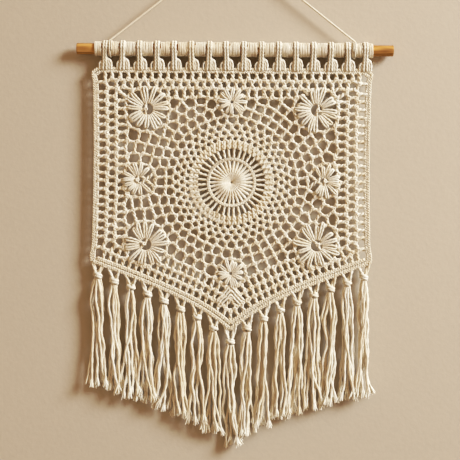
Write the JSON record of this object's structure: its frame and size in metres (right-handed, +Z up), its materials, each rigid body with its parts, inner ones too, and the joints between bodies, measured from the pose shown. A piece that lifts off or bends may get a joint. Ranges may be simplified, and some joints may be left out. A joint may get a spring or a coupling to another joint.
{
  "type": "crochet wall hanging on a wooden rod",
  "caption": "Pointed cotton crochet panel with a round medallion and flowers, looped over a wooden rod, with knotted tassels along its lower edge and a cord to hang it on a wall.",
  "frame": {"origin": "where the underside of the hanging cord bears on the nail, on the panel's middle line", "axes": "+Z up, +X along the rod to the viewer's right, -Y out of the front towards the viewer"},
  "size_m": [0.348, 0.0164, 0.5506],
  "materials": {
    "rod": "plain sanded dowel",
    "yarn": "undyed matte cotton yarn",
    "cord": "undyed matte cotton string"
  },
  "bodies": {
    "root": {"rod": "rod", "panel": "yarn", "winding_01": "yarn", "winding_02": "yarn", "winding_03": "yarn", "winding_04": "yarn", "winding_05": "yarn", "winding_06": "yarn", "winding_07": "yarn", "winding_08": "yarn", "winding_09": "yarn", "winding_10": "yarn", "winding_11": "yarn", "winding_12": "yarn", "winding_13": "yarn", "winding_14": "yarn", "winding_15": "yarn", "winding_16": "yarn", "winding_17": "yarn", "loop_01": "yarn", "loop_02": "yarn", "loop_03": "yarn", "loop_04": "yarn", "loop_05": "yarn", "loop_06": "yarn", "loop_07": "yarn", "loop_08": "yarn", "loop_09": "yarn", "loop_10": "yarn", "loop_11": "yarn", "loop_12": "yarn", "loop_13": "yarn", "loop_14": "yarn", "loop_15": "yarn", "loop_16": "yarn", "tassel_01": "yarn", "tassel_02": "yarn", "tassel_03": "yarn", "tassel_04": "yarn", "tassel_05": "yarn", "tassel_06": "yarn", "tassel_07": "yarn", "tassel_08": "yarn", "tassel_09": "yarn", "tassel_10": "yarn", "tassel_11": "yarn", "tassel_12": "yarn", "tassel_13": "yarn", "tassel_14": "yarn", "tassel_15": "yarn", "tassel_16": "yarn", "tassel_17": "yarn", "hanging_cord": "cord"}
  },
  "joints": []
}
